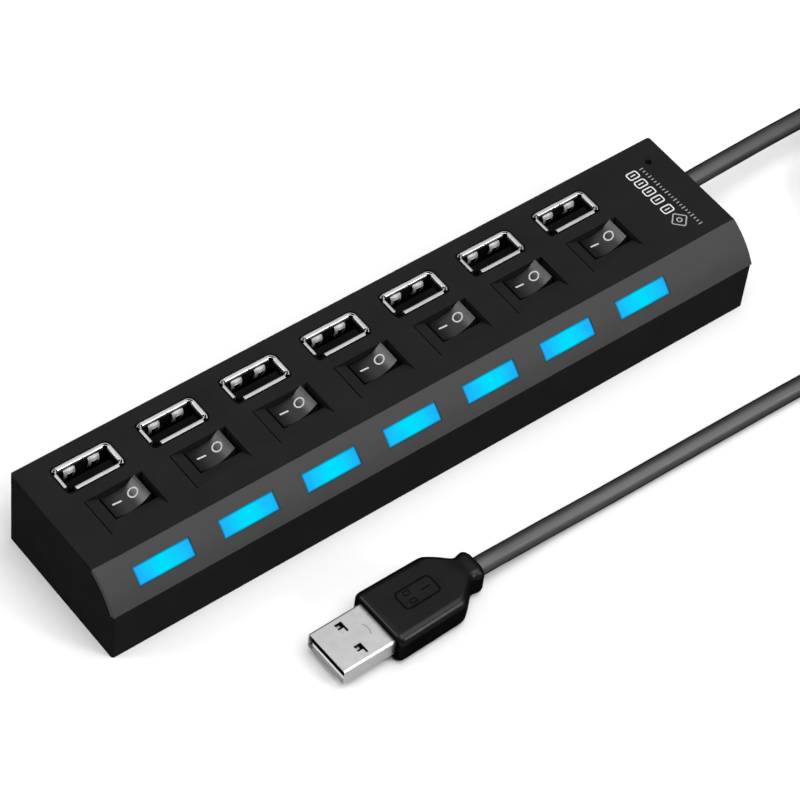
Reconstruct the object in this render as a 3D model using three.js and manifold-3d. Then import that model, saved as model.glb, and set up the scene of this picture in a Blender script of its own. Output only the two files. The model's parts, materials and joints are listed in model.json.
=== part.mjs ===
// A seven-port desktop hub: a long black housing with seven upright sockets, seven rocker switches and
// seven lit windows, its round lead wound into a loose coil, and the lead's flat plug.
// Millimetres, +Z up. The origin is the middle of the housing's base, +X runs along the housing to the
// end that the lead leaves by, and -Y is the front, with the sloping bezel.
import * as THREE from "three";
import { mergeVertices } from "three/addons/utils/BufferGeometryUtils.js";
import Module from "manifold-3d";

const wasm = await Module();
wasm.setup();

// ---------------------------------------------------------------- driving dimensions
const GAP = 0.3;                       // clearance between pieces that touch on the real hub

const LENGTH = 170;                    // housing along X
const DEPTH = 37;                      // housing along Y
const HEIGHT = 21.5;                   // base to top face
const WALL = 1.8;
const TOP_WALL = 2;
const CORNER = 0.6;                    // upright corners' radius
const END = LENGTH / 2;
const FRONT = -DEPTH / 2;
const BACK = DEPTH / 2;

const PORTS = 7;
const PITCH = 21;
const FIRST_SOCKET_X = -71.1;
const SOCKET_Y = 11.1;
const FIRST_ROCKER_X = -68.05;
const ROCKER_Y = 1;
const FIRST_WINDOW_X = -70.5;
const FIRST_RECESS_X = -76.8;          // left edge of the first switch recess

const CREASE_Y = -10.7;                // where the bezel meets the top face
const LIP_Z = 13.8;                    // where the bezel meets the front wall
const BEZEL_BULGE = 0.9;               // how far its arc stands out from a flat
const BEZEL_THICK = 1.4;

const WINDOW = { length: 13.8, height: 4.3, clear: 0.2 };
const RECESS = { length: 14.2, front: -5.7, depth: 1.5, pad: 0.7, seam: 0.35, seamDepth: 0.7 };
const ROCKER = { half: 4.3, width: 5.8, rise: 3.68, dish: 1.5, axle: 0.8, pin: 8.3, tilt: 12 };
const ROCKER_PIVOT_Z = 17.6;
const ROCKER_HOLE = { half: 5.22, front: ROCKER_Y - 3.2, back: ROCKER_Y + 3.2 };

const BOARD = { x: 81.2, y: 15.6, low: 6, high: 7.6 };
const SCREWS = [[-80.6, -12.6], [-80.6, 13.2], [74, 13.2], [80.6, -12.6]];
const BOSS = 2.4;
const COVER_THICK = 2;
const POWER_HOLE = { x: 80.1, y: 12.7, radius: 0.8 };

const CORD = 2.2;                      // lead's radius
const CORD_EXIT = { y: 9.5, z: 11.3 };
const GROMMET = 3.1;                   // radius of the soft collar in the end wall
const COIL = { x: 140, y: -19, inner: 15.6, outer: 29.8, low: 0.9, high: 5.1 };
const PLUG = { x: -51.2, y: -45.2, z: 4.1, turn: 1.2 };
const PLUG_SHELL = { length: 18.5, width: 12, height: 4.5, sheet: 0.3, bared: 13 };
const PLUG_WINDOW = { near: 5.3, far: 7.1, y: 3.2, half: 1.35 };

// The lead's centreline, [x, y, z]: from inside the housing to where it crosses over the coil, and from
// the coil's outer turn along the ground into the plug.
const LEAD_ROUTE = [
  [80.4, 9.4, 11.3], [85, 9.5, 11.3], [92, 9.7, 11.3], [99.5, 9.95, 11.2], [107, 10.2, 11.05],
  [114, 10.5, 10.8], [121, 10.8, 10.4], [128, 11.2, 9.8], [134, 11.5, 9.2], [140, 11.5, 8.6],
  [146, 10.5, 8.1], [151.5, 8.2, 7.8], [156.3, 4.6, 7.6], [159.8, 0.1, 7.5], [162, -5.2, 7.5],
  [163, -10.8, 7.5], [163, -16, 7.5],
];
const TAIL_ROUTE = [
  [122.4, -46.15, 2.2], [116, -46, 2.2], [109, -45.7, 2.2], [100, -45.3, 2.2], [90, -44.9, 2.2],
  [78.5, -44.5, 2.2], [66, -44.3, 2.2], [53, -44.15, 2.2], [40, -44, 2.2], [28, -43.9, 2.2],
  [17, -43.8, 2.35], [6, -43.85, 2.9], [-3, -44.05, 3.5], [-8, -44.2, 3.95], [-12, -44.3, 4.1],
  [-17, -44.47, 4.1],
];

// ---------------------------------------------------------------- solids
/** The closed geometry as a manifold solid, for cutting and joining. */
function solid(geometry) {
  const bare = geometry.index ? geometry.toNonIndexed() : geometry.clone();
  bare.deleteAttribute("normal");
  bare.deleteAttribute("uv");
  const merged = mergeVertices(bare, 1e-4);
  return new wasm.Manifold(new wasm.Mesh({
    numProp: 3,
    vertProperties: new Float32Array(merged.attributes.position.array),
    triVerts: new Uint32Array(merged.index.array),
  }));
}

/** A manifold solid as a three.js geometry. */
function shape(body) {
  const mesh = body.getMesh();
  const geometry = new THREE.BufferGeometry();
  geometry.setAttribute("position", new THREE.BufferAttribute(mesh.vertProperties, 3));
  geometry.setIndex(new THREE.BufferAttribute(mesh.triVerts, 1));
  geometry.computeVertexNormals();
  return geometry;
}

/** base with every tool cut away. */
const cut = (base, tools) => tools.reduce((body, tool) => body.subtract(tool), base);

/** base with every piece joined on. */
const join = (base, pieces) => pieces.reduce((body, piece) => body.add(piece), base);

/** A box from its lowest and highest corners. */
function block([x0, y0, z0], [x1, y1, z1]) {
  const box = new THREE.BoxGeometry(x1 - x0, y1 - y0, z1 - z0);
  return solid(box.translate((x0 + x1) / 2, (y0 + y1) / 2, (z0 + z1) / 2));
}

/** A box whose top and bottom rectangles differ: each is [x0, x1, y0, y1, z]. */
function taper(bottom, top) {
  const box = new THREE.BoxGeometry(1, 1, 1);
  const corners = box.attributes.position;
  for (let i = 0; i < corners.count; i += 1) {
    const [x0, x1, y0, y1, z] = corners.getZ(i) < 0 ? bottom : top;
    corners.setXYZ(i, corners.getX(i) < 0 ? x0 : x1, corners.getY(i) < 0 ? y0 : y1, z);
  }
  return solid(box);
}

const outline = (points) => new THREE.Shape(points.map(([u, v]) => new THREE.Vector2(u, v)));

/** An outline of [y, z] points run along X. */
function prismX(points, x0, x1) {
  const geometry = new THREE.ExtrudeGeometry(outline(points), { depth: x1 - x0, bevelEnabled: false });
  const axes = new THREE.Matrix4().makeBasis(
    new THREE.Vector3(0, 1, 0), new THREE.Vector3(0, 0, 1), new THREE.Vector3(1, 0, 0));
  return solid(geometry.applyMatrix4(axes).translate(x0, 0, 0));
}

/** An outline of [x, z] points run along Y. */
function prismY(points, y0, y1) {
  const geometry = new THREE.ExtrudeGeometry(outline(points), { depth: y1 - y0, bevelEnabled: false });
  return solid(geometry.rotateX(Math.PI / 2).translate(0, y1, 0));
}

/** A rectangle with round corners, centred on x, y and run along Z. */
function roundedBlock({ x = 0, y = 0, width, depth, radius, low, high }) {
  const [w, d] = [width / 2, depth / 2];
  const plan = new THREE.Shape();
  plan.moveTo(x - w + radius, y - d);
  plan.absarc(x + w - radius, y - d + radius, radius, -Math.PI / 2, 0);
  plan.absarc(x + w - radius, y + d - radius, radius, 0, Math.PI / 2);
  plan.absarc(x - w + radius, y + d - radius, radius, Math.PI / 2, Math.PI);
  plan.absarc(x - w + radius, y - d + radius, radius, Math.PI, Math.PI * 1.5);
  const settings = { depth: high - low, bevelEnabled: false, curveSegments: 4 };
  return solid(new THREE.ExtrudeGeometry(plan, settings).translate(0, 0, low));
}

/** A round bar or cone along Z. */
function roundZ({ x, y, low, high, radius, topRadius = radius, sides = 20 }) {
  const bar = new THREE.CylinderGeometry(topRadius, radius, high - low, sides);
  return solid(bar.rotateX(Math.PI / 2).translate(x, y, (low + high) / 2));
}

/** A round bar along X. */
function roundX({ x0, x1, y, z, radius, sides = 20 }) {
  const bar = new THREE.CylinderGeometry(radius, radius, x1 - x0, sides);
  return solid(bar.rotateZ(Math.PI / 2).translate((x0 + x1) / 2, y, z));
}

/** A round cord's tube along a smooth curve through the points. */
function tube(points, radius, steps, sides = 10) {
  const section = new THREE.Shape();
  section.absarc(0, 0, radius, 0, Math.PI * 2);
  const path = new THREE.CatmullRomCurve3(points.map((point) => new THREE.Vector3(...point)), false, "centripetal");
  return new THREE.ExtrudeGeometry(section, { steps, curveSegments: sides / 2, extrudePath: path });
}

// ---------------------------------------------------------------- the bezel's arc
const chordY = CREASE_Y - FRONT;
const chordZ = HEIGHT - LIP_Z;
const chord = Math.hypot(chordY, chordZ);
const ARC_RADIUS = chord ** 2 / (8 * BEZEL_BULGE) + BEZEL_BULGE / 2;
const ARC_HALF = Math.asin(chord / 2 / ARC_RADIUS);
const ARC_TURN = Math.atan2(chordY, -chordZ);          // direction of the middle of the arc
const ARC_CENTRE = [
  (CREASE_Y + FRONT) / 2 - (ARC_RADIUS - BEZEL_BULGE) * Math.cos(ARC_TURN),
  (HEIGHT + LIP_Z) / 2 - (ARC_RADIUS - BEZEL_BULGE) * Math.sin(ARC_TURN),
];

/** The [y, z] point at an angle from the arc's middle, upwards positive, and a depth beneath its face. */
function onArc(angle, depth = 0) {
  const direction = ARC_TURN - angle;
  return [
    ARC_CENTRE[0] + (ARC_RADIUS - depth) * Math.cos(direction),
    ARC_CENTRE[1] + (ARC_RADIUS - depth) * Math.sin(direction),
  ];
}

/** Points along the arc from one angle to another. */
function arcPoints(from, to, depth, count = 10) {
  return Array.from({ length: count + 1 }, (_, i) => onArc(from + (to - from) * i / count, depth));
}

/** A band of the arc between two depths, as an outline. */
function arcBand(half, shallow, deep) {
  return [...arcPoints(-half, half, shallow), ...arcPoints(half, -half, deep)];
}

/** A straight-sided opening through the bezel at x, square to its face. */
function windowCutter(x) {
  const box = new THREE.BoxGeometry(
    WINDOW.length + 2 * WINDOW.clear, 12, WINDOW.height + 2 * WINDOW.clear);
  box.rotateX(ARC_TURN - Math.PI);
  const [y, z] = onArc(0);
  return solid(box.translate(x, y, z));
}

const ports = Array.from({ length: PORTS }, (_, i) => i);
const socketX = (i) => FIRST_SOCKET_X + PITCH * i;
const rockerX = (i) => FIRST_ROCKER_X + PITCH * i;
const windowX = (i) => FIRST_WINDOW_X + PITCH * i;
const recessX = (i) => FIRST_RECESS_X + PITCH * i;

// ---------------------------------------------------------------- housing
/** The sloping-walled well that a rocker sits in, the hole in its floor and the seam at its left edge. */
function rockerWell(i) {
  const x = rockerX(i);
  const floor = HEIGHT - RECESS.depth;
  const left = recessX(i);
  const steps = 1 / RECESS.depth;                      // the walls' run for each mm of height
  const slopeLeft = (x - ROCKER_HOLE.half - left) * steps;
  const slopeRight = (left + RECESS.length - x - ROCKER_HOLE.half) * steps;
  const slopeFront = (ROCKER_HOLE.front - RECESS.front) * steps;
  const well = taper(
    [x - ROCKER_HOLE.half, x + ROCKER_HOLE.half, ROCKER_HOLE.front, ROCKER_HOLE.back, floor],
    [left - slopeLeft, left + RECESS.length + slopeRight, RECESS.front - slopeFront,
      ROCKER_HOLE.back, HEIGHT + 1]);
  const hole = block(
    [x - ROCKER_HOLE.half, ROCKER_HOLE.front, floor - 3],
    [x + ROCKER_HOLE.half, ROCKER_HOLE.back, floor + 0.01]);
  const seam = block(
    [left, RECESS.front, HEIGHT - RECESS.seamDepth],
    [left + RECESS.seam, ROCKER_HOLE.back, HEIGHT + 1]);
  return join(well, [hole, seam]);
}

/** The hub's plan with its round upright corners, taller than the housing. */
function cornerBlock() {
  return roundedBlock({ width: LENGTH, depth: DEPTH, radius: CORNER, low: -1, high: HEIGHT + 1 });
}

/** The housing's whole outline, before anything is cut from it. */
function housingBlock() {
  const profile = [[FRONT, 0], ...arcPoints(-ARC_HALF, ARC_HALF, 0), [BACK, HEIGHT], [BACK, 0]];
  return prismX(profile, -END, END).intersect(cornerBlock());
}

function topShell() {
  const whole = housingBlock();
  const inside = FRONT + WALL;
  const cavity = prismX(
    [[inside, -1], [inside, 11], [-8.2, HEIGHT - TOP_WALL], [-inside, HEIGHT - TOP_WALL], [-inside, -1]],
    -END + WALL, END - WALL);
  const pocket = prismX(arcBand(ARC_HALF, -2, BEZEL_THICK + GAP), -END - 1, END + 1);
  const pads = ports.map((i) => block(
    [recessX(i) - 1, RECESS.front - 1, HEIGHT - TOP_WALL - RECESS.pad],
    [recessX(i) + RECESS.length + 1, ROCKER_HOLE.back + 1, HEIGHT - 1]));
  const bosses = SCREWS.map(([x, y]) => roundZ({
    x, y, low: COVER_THICK + GAP, high: HEIGHT - 1, radius: BOSS,
  }).intersect(whole).subtract(pocket));
  const pilots = SCREWS.map(([x, y]) => roundZ({ x, y, low: 0, high: 10, radius: 1.45, sides: 12 }));
  const sockets = ports.map((i) => roundedBlock({
    x: socketX(i), y: SOCKET_Y, width: 14.3, depth: 7.7, radius: 0.9, low: HEIGHT - 3, high: HEIGHT + 1,
  }));
  const power = roundZ({ ...POWER_HOLE, low: HEIGHT - 3, high: HEIGHT + 1, sides: 16 });
  const cordHole = roundX({ x0: END - 3, x1: END + 1, ...CORD_EXIT, radius: GROMMET + GAP });
  const shell = join(cut(whole, [cavity, pocket]), [...pads, ...bosses]);
  return cut(shell, [
    ...pilots, ...sockets, ...ports.map(rockerWell), ...ports.map((i) => windowCutter(windowX(i))),
    power, cordHole,
  ]);
}

function bottomCover() {
  const plate = roundedBlock({
    width: LENGTH - 2 * WALL - 0.8, depth: DEPTH - 2 * WALL - 0.8, radius: 0.8, low: 0, high: COVER_THICK,
  });
  const posts = [-52, -10.5, 31].flatMap((x) => [-12, 3].map((y) => roundZ({
    x, y, low: COVER_THICK - 0.5, high: BOARD.low - GAP, radius: 2, sides: 12,
  })));
  const holes = SCREWS.map(([x, y]) => roundZ({ x, y, low: -1, high: COVER_THICK + 1, radius: 1.55 })
    .add(roundZ({ x, y, low: -0.4, high: 1.4, radius: 3.05, topRadius: 1.55 })));
  return cut(join(plate, posts), holes);
}

/** The bezel: a curved strip that runs from end to end, flush with the housing all round. */
function frontBezel() {
  const edgeGap = GAP / ARC_RADIUS;
  const strip = prismX(arcBand(ARC_HALF - edgeGap, 0, BEZEL_THICK), -END, END).intersect(cornerBlock());
  return cut(strip, ports.map((i) => windowCutter(windowX(i))));
}

/** A blue window, flush with the bezel, with the leg that brings it light from the board. */
function lightGuide(i) {
  const half = WINDOW.height / 2 / ARC_RADIUS;
  const reach = 4.4;                                   // how far it runs in through bezel and housing
  const deepHalf = WINDOW.height / 2 / (ARC_RADIUS - reach);
  const [footY, footZ] = onArc(-deepHalf, reach);
  const [headY, headZ] = onArc(deepHalf, reach);
  const legY = footY + 2;
  const legTop = footZ + 2 * (headZ - footZ) / (headY - footY);
  const foot = BOARD.high + GAP;
  const profile = [
    ...arcPoints(half, -half, 0.05, 4), [footY, footZ], [footY, foot], [legY, foot], [legY, legTop],
    [headY, headZ],
  ];
  return prismX(profile, windowX(i) - WINDOW.length / 2, windowX(i) + WINDOW.length / 2);
}

// ---------------------------------------------------------------- sockets and switches
/** A socket's folded metal shell, with its flared lips, split corners and two sprung leaves. */
function socketShell(i) {
  const [x, y] = [socketX(i), SOCKET_Y];
  const rectangle = (width, depth, z) => [x - width / 2, x + width / 2, y - depth / 2, y + depth / 2, z];
  const mouth = HEIGHT - 1.1;
  const rim = HEIGHT + 0.15;
  const base = BOARD.high + GAP;
  const walls = taper(rectangle(12.9, 5.7, base), rectangle(12.9, 5.7, mouth));
  const lips = taper(rectangle(12.9, 5.7, mouth - 0.01), rectangle(13.7, 7.1, rim));
  const bore = taper(rectangle(12.3, 5.1, base - 1), rectangle(12.3, 5.1, mouth + 0.2));
  const flare = taper(rectangle(12.3, 5.1, mouth + 0.19), rectangle(13, 6.3, rim + 0.2));
  const corners = [[-1, -1], [1, -1], [1, 1], [-1, 1]].map(([u, v]) => block(
    [x + u * 6.6 - 0.8, y + v * 3.3 - 0.8, mouth], [x + u * 6.6 + 0.8, y + v * 3.3 + 0.8, rim + 1]));
  const leaves = [-3, 3].map((offset) => prismX(
    [[y + 2.7, mouth - 1.2], [y + 1.5, mouth - 4.4], [y + 2.7, mouth - 6.6]],
    x + offset - 1, x + offset + 1));
  return join(cut(walls.add(lips), [bore, flare, ...corners]), leaves);
}

/** A socket's plastic block, with the tongue that carries the contacts. */
function socketInsulator(i) {
  const [x, y] = [socketX(i), SOCKET_Y];
  const base = BOARD.high + 2 * GAP;
  const heel = block([x - 5.8, y - 2.2, base], [x + 5.8, y + 2.2, base + 3.2]);
  const tongue = block([x - 5.5, y - 1.85, base + 1], [x + 5.5, y, HEIGHT - 1.2]);
  return heel.add(tongue);
}

/** The open-topped body of a switch, slotted for the rocker's axle. */
function switchCase(i) {
  const x = rockerX(i);
  const top = HEIGHT - TOP_WALL - RECESS.pad - GAP;
  const shell = block([x - 6.2, ROCKER_Y - 4.7, BOARD.high + GAP], [x + 6.2, ROCKER_Y + 4.7, top]);
  const pocket = block([x - 5.5, ROCKER_Y - 3.4, 11], [x + 5.5, ROCKER_Y + 3.4, top + 1]);
  const slot = ROCKER.axle + GAP;
  const bearing = solid(new THREE.CylinderGeometry(slot, slot, 12, 16)
    .translate(x, ROCKER_Y, ROCKER_PIVOT_Z));
  const entry = block([x - slot, ROCKER_Y - 6, ROCKER_PIVOT_Z], [x + slot, ROCKER_Y + 6, top + 1]);
  return cut(shell, [pocket, bearing, entry]);
}

/** A rocker with a dished top, about its own pivot: the pivot is the origin and the pose is level. */
function rockerBody() {
  const { half, width, rise, dish, axle, pin: pinLength } = ROCKER;
  const side = 10;
  const top = Array.from({ length: side + 1 }, (_, i) => {
    const u = 1 - 2 * i / side;
    return [half * u, rise - dish * (1 - u * u)];
  });
  const profile = [...top, [-half, 1], [-3.4, -1.1], [-1, -1.4], [0, -2.6], [1, -1.4], [3.4, -1.1], [half, 1]];
  const pin = solid(new THREE.CylinderGeometry(axle, axle, pinLength, 16));
  return prismY(profile, -width / 2, width / 2).add(pin);
}

// ---------------------------------------------------------------- board and fastenings
function mainBoard() {
  const plate = block([-BOARD.x, -BOARD.y, BOARD.low], [BOARD.x, BOARD.y, BOARD.high]);
  const notches = SCREWS.map(([x, y]) => roundZ({ x, y, low: 5, high: 9, radius: BOSS + 0.5 }));
  return cut(plate, notches);
}

function controllerChip() {
  const low = BOARD.high + GAP;
  return taper([66.5, 73.5, -4.5, 2.5, low], [66.8, 73.2, -4.2, 2.2, low + 1.2]);
}

function crystalCan() {
  const low = BOARD.high + GAP;
  return roundedBlock({ x: 70, y: -8.5, width: 10.6, depth: 4.4, radius: 2.1, low, high: low + 3.4 });
}

/** A clear pipe that carries the power light from the board to the small hole in the top. */
function powerLightPipe() {
  const low = BOARD.high + GAP;
  const profile = [[0, low], [1.6, low], [1.6, low + 1.4], [1, low + 2.6], [0.5, HEIGHT - 3],
    [0.5, HEIGHT - 0.4], [0, HEIGHT - 0.4]];
  const lathe = new THREE.LatheGeometry(profile.map(([r, z]) => new THREE.Vector2(r, z)), 12);
  return solid(lathe.rotateX(Math.PI / 2).translate(POWER_HOLE.x, POWER_HOLE.y, 0));
}

/** A countersunk cross-head screw, driven up through the cover. */
function screw([x, y]) {
  const head = roundZ({ x, y, low: 0.2, high: 1.4, radius: 2.25, topRadius: 1.2, sides: 16 });
  const shank = roundZ({ x, y, low: 1.3, high: 9, radius: 1.15, sides: 12 });
  const slots = [[1.4, 0.3], [0.3, 1.4]].map(([u, v]) => block([x - u, y - v, -1], [x + u, y + v, 0.8]));
  return cut(head.add(shank), slots);
}

// ---------------------------------------------------------------- lead, coil and plug
/** The soft collar that fills the hole in the end wall, about the lead. */
function cordGrommet() {
  const bore = CORD + GAP;
  const [deep, seat, face] = [END - 3.3, END - WALL - GAP, END - 0.1];
  const flange = GROMMET + 0.8;
  const profile = [
    [bore, deep], [flange, deep], [flange, seat], [GROMMET, seat], [GROMMET, face], [bore, face], [bore, deep]];
  const lathe = new THREE.LatheGeometry(profile.map(([r, x]) => new THREE.Vector2(r, x)), 24);
  return solid(lathe.rotateZ(-Math.PI / 2).translate(0, CORD_EXIT.y, CORD_EXIT.z));
}

function coilRing() {
  const { inner, outer, low, high } = COIL;
  const profile = [[inner, low], [outer, low], [outer, high], [inner, high], [inner, low]];
  const ring = new THREE.LatheGeometry(profile.map(([r, z]) => new THREE.Vector2(r, z)), 40);
  return solid(ring.rotateX(Math.PI / 2).translate(COIL.x, COIL.y, 0));
}

/** The strap about the coil, on the side towards the housing. */
function coilTie() {
  const strap = 0.6;
  const [near, far] = [COIL.inner - 0.5, COIL.outer + 0.3];
  const [low, high] = [COIL.low - 0.25, COIL.high + 0.25];
  const outer = block([near - strap, -2.5, low - strap], [far + strap, 2.5, high + strap]);
  return outer.subtract(block([near, -3, low], [far, 3, high]));
}

function plugShell() {
  const { length, width, height, sheet } = PLUG_SHELL;
  const side = (grow) => roundedBlock({
    width: height - 2 * grow, depth: width - 2 * grow, radius: 0.6 - grow, low: -grow, high: length + grow,
  }).rotate([0, 90, 0]);
  const windows = [-PLUG_WINDOW.y, PLUG_WINDOW.y].map((y) => block(
    [PLUG_WINDOW.near, y - PLUG_WINDOW.half, -height], [PLUG_WINDOW.far, y + PLUG_WINDOW.half, height]));
  return cut(side(0), [side(sheet), ...windows]);
}

/** The plug's plastic block: a half-height tongue behind the mouth and a full-height heel. */
function plugInsulator() {
  const tongue = block([0.7, -5.4, -1.65], [17.8, 5.4, 0.05]);
  const heel = block([12, -5.4, -1.65], [17.8, 5.4, 1.65]);
  return tongue.add(heel);
}

/** The moulded grip: a flat block with round edges that draws in to a collar about the lead. */
function plugOvermould() {
  const start = PLUG_SHELL.bared;
  const [half, neck, bulge] = [8, 3.5, 3.9];
  const [shoulder, waist, collar, tail] = [30.5, 35.6, 37.4, 38.9];
  const plan = new THREE.Shape();
  plan.moveTo(start, -half);
  plan.lineTo(shoulder, -half);
  plan.bezierCurveTo(shoulder + 2, -half + 1.6, waist - 1.8, -neck - 0.4, waist, -neck);
  plan.quadraticCurveTo(collar, -bulge - 0.5, tail, -bulge + 1.2);
  plan.lineTo(tail, bulge - 1.2);
  plan.quadraticCurveTo(collar, bulge + 0.5, waist, neck);
  plan.bezierCurveTo(waist - 1.8, neck + 0.4, shoulder + 2, half - 1.6, shoulder, half);
  plan.lineTo(start, half);
  const edge = 2;
  const thick = PLUG.z;
  const across = Array.from({ length: 7 }, (_, i) => (i / 6) * Math.PI / 2);
  const corner = across.map((turn) => [
    half - edge + edge * Math.sin(turn), thick - edge + edge * Math.cos(turn)]);
  const section = [
    ...corner, ...corner.map(([y, z]) => [y, -z]).reverse(),
    ...corner.map(([y, z]) => [-y, -z]), ...corner.map(([y, z]) => [-y, z]).reverse()];
  const flat = new THREE.ExtrudeGeometry(plan, { depth: 2 * thick, bevelEnabled: false, curveSegments: 5 });
  const grip = solid(flat.translate(0, 0, -thick)).intersect(prismX(section, start - 1, tail + 1));
  const seat = block([0, -6.3, -2.55], [PLUG_SHELL.length + GAP, 6.3, 2.55]);
  const bore = roundX({ x0: 33.5, x1: 41, y: 0, z: 0, radius: CORD + GAP, sides: 16 });
  return cut(grip, [seat, bore]);
}

// ---------------------------------------------------------------- the assembly
const FINISH = {
  housing: { color: 0x262627, roughness: 0.55, metalness: 0 },
  bezel: { color: 0x4b4b4a, roughness: 0.45, metalness: 0 },
  rocker: { color: 0x1c1c1d, roughness: 0.4, metalness: 0 },
  window: { color: 0x1ac6f2, roughness: 0.3, metalness: 0, emissive: 0x00a0e0 },
  steel: { color: 0xc8c8c8, roughness: 0.3, metalness: 1 },
  dark: { color: 0x101011, roughness: 0.6, metalness: 0 },
  pale: { color: 0xe6e6e2, roughness: 0.5, metalness: 0 },
  board: { color: 0x1d5a34, roughness: 0.5, metalness: 0 },
  cord: { color: 0x3c3c3d, roughness: 0.5, metalness: 0 },
};

/** A named mesh; body is a manifold solid or a finished geometry. */
function piece(name, body, finish) {
  const geometry = body.isBufferGeometry ? body : shape(body);
  const mesh = new THREE.Mesh(geometry, new THREE.MeshStandardMaterial(FINISH[finish]));
  mesh.name = name;
  return mesh;
}

function switchAndSocket(i) {
  const number = i + 1;
  const rocker = piece(`rocker_${number}`, rockerBody(), "rocker");
  rocker.position.set(rockerX(i), ROCKER_Y, ROCKER_PIVOT_Z);
  rocker.rotation.y = -THREE.MathUtils.degToRad(ROCKER.tilt);
  return [
    piece(`socket_shell_${number}`, socketShell(i), "steel"),
    piece(`socket_insulator_${number}`, socketInsulator(i), "dark"),
    piece(`switch_case_${number}`, switchCase(i), "dark"),
    rocker,
    piece(`light_guide_${number}`, lightGuide(i), "window"),
  ];
}

function plugGroup() {
  const plug = new THREE.Group();
  plug.add(
    piece("plug_shell", plugShell(), "steel"),
    piece("plug_insulator", plugInsulator(), "pale"),
    piece("plug_overmould", plugOvermould(), "dark"));
  plug.position.set(PLUG.x, PLUG.y, PLUG.z);
  plug.rotation.z = THREE.MathUtils.degToRad(PLUG.turn);
  return plug;
}

function coilTieMesh() {
  const tie = piece("coil_tie", coilTie(), "dark");
  tie.position.set(COIL.x, COIL.y, 0);
  tie.rotation.z = THREE.MathUtils.degToRad(200);
  return tie;
}

const hub = new THREE.Group();
hub.name = "usb_hub";
hub.add(
  piece("top_shell", topShell(), "housing"),
  piece("bottom_cover", bottomCover(), "housing"),
  piece("front_bezel", frontBezel(), "bezel"),
  piece("main_board", mainBoard(), "board"),
  piece("hub_controller", controllerChip(), "dark"),
  piece("crystal", crystalCan(), "steel"),
  piece("power_light_pipe", powerLightPipe(), "pale"),
  ...SCREWS.map((place, i) => piece(`screw_${i + 1}`, screw(place), "steel")),
  ...ports.flatMap(switchAndSocket),
  piece("cord_grommet", cordGrommet(), "dark"),
  piece("cord_lead", tube(LEAD_ROUTE, CORD, 34), "cord"),
  piece("cord_coil", coilRing(), "cord"),
  piece("cord_tail", tube(TAIL_ROUTE, CORD, 40), "cord"),
  coilTieMesh(),
  plugGroup());

export default hub;
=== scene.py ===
"""A seven-port desktop hub with rocker switches, lit windows and a corded plug, on a pale studio floor.

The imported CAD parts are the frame. Lengths here are millimetres, and MM turns them into Blender's metres.
"""
import json
import math

import bmesh
import bpy
from mathutils import Matrix, Vector


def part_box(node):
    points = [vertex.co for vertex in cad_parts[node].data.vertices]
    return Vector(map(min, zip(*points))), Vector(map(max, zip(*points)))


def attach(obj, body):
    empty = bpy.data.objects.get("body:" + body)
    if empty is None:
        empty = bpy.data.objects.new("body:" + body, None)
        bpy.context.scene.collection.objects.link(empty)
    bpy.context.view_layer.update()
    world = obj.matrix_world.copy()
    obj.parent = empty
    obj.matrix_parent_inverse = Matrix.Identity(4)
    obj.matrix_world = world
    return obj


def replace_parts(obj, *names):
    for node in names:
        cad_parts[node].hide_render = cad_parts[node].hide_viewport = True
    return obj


MM = 0.001
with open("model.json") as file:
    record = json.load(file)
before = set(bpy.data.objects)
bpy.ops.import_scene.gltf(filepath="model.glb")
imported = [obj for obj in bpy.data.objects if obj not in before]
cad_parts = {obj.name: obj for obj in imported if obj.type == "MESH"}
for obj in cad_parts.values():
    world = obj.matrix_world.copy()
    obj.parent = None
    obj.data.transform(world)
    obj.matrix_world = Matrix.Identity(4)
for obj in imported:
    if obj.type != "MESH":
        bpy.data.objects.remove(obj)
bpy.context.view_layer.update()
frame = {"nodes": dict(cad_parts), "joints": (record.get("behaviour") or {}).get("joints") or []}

PORTS = range(1, 8)
HOUSING = "housing"                    # the body that everything but the rockers rides on


def box_of(node):
    """A node's lowest and highest corners in millimetres."""
    low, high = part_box(node)
    return Vector(low) / MM, Vector(high) / MM


def centre_of(node):
    """The middle of a node's box."""
    low, high = box_of(node)
    return (low + high) / 2


HUB_LOW, HUB_HIGH = box_of("top_shell")
TOP = HUB_HIGH.z                       # height of the hub's top face


# ---------------------------------------------------------------- camera
def aim_camera():
    """The camera looks down at the hub from its front left, rolled a little to the left."""
    azimuth, elevation, roll = math.radians(43.37), math.radians(50.58), math.radians(7.44)
    distance = 763.1
    aim = Vector((-1.3, -4.0, TOP / 2))
    forward = Vector((
        math.sin(azimuth) * math.cos(elevation),
        math.cos(azimuth) * math.cos(elevation),
        -math.sin(elevation),
    ))
    level = forward.cross(Vector((0, 0, 1))).normalized()
    right = Matrix.Rotation(-roll, 3, forward) @ level
    up = right.cross(forward)
    data = bpy.data.cameras.new("camera")
    data.sensor_width = 36
    data.lens = 162.2
    data.clip_start = 0.01
    camera = bpy.data.objects.new("camera", data)
    axes = Matrix((right, up, -forward)).transposed().to_4x4()
    camera.matrix_world = Matrix.Translation((aim - forward * distance) * MM) @ axes
    bpy.context.scene.collection.objects.link(camera)
    bpy.context.scene.camera = camera


aim_camera()


# ---------------------------------------------------------------- mesh helpers
def link(name, data, body, slot, material):
    """A new object that rides on a body and takes the given material; its slot is not used."""
    made = bpy.data.objects.new(name, data)
    bpy.context.scene.collection.objects.link(made)
    data.materials.append(material)
    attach(made, body)
    return made


def smooth(data, angle=35):
    """Smooth shading, with edges sharper than the angle kept crisp."""
    data.polygons.foreach_set("use_smooth", [True] * len(data.polygons))
    data.set_sharp_from_angle(angle=math.radians(angle))


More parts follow.
